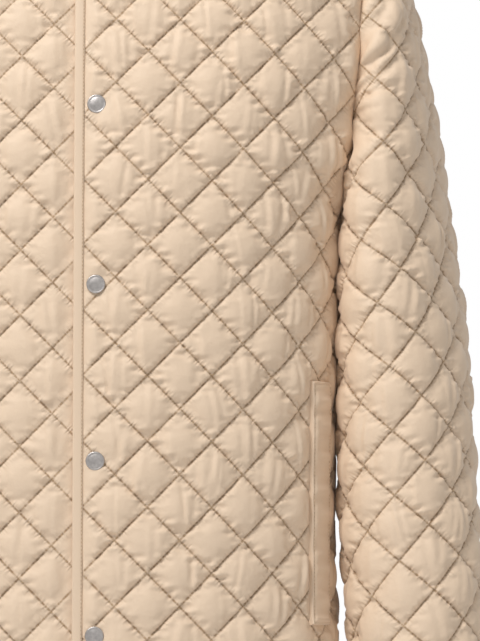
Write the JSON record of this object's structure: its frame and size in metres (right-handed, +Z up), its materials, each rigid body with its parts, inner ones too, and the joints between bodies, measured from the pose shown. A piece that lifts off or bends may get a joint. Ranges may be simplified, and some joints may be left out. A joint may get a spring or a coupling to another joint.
{
  "type": "quilted jacket",
  "caption": "Diamond-quilted jacket, worn and fastened, with a stand collar, snap front, bound edges, welt pockets and long sleeves hanging at the sides.",
  "frame": {"origin": "midway between the two neck points, where the wearer's shoulders hold the jacket", "axes": "+Z up, -Y to the front of the jacket, +X to the wearer's left"},
  "size_m": [0.6304, 0.2564, 0.7787],
  "materials": {
    "quilted_cloth": "smooth semi-matte woven nylon, quilted",
    "trim": "semi-matte woven nylon, plain",
    "snap_cap": "aged pewter plating, satin"
  },
  "bodies": {
    "root": {"front_left": "quilted_cloth", "front_right": "quilted_cloth", "back": "quilted_cloth", "sleeve_left": "quilted_cloth", "sleeve_right": "quilted_cloth", "collar": "quilted_cloth", "binding_front_left": "trim", "binding_front_right": "trim", "binding_hem": "trim", "binding_collar": "trim", "binding_cuff_left": "trim", "binding_cuff_right": "trim", "welt_left": "trim", "welt_right": "trim", "snap_1": "snap_cap", "snap_2": "snap_cap", "snap_3": "snap_cap", "snap_4": "snap_cap", "snap_5": "snap_cap"}
  },
  "joints": []
}
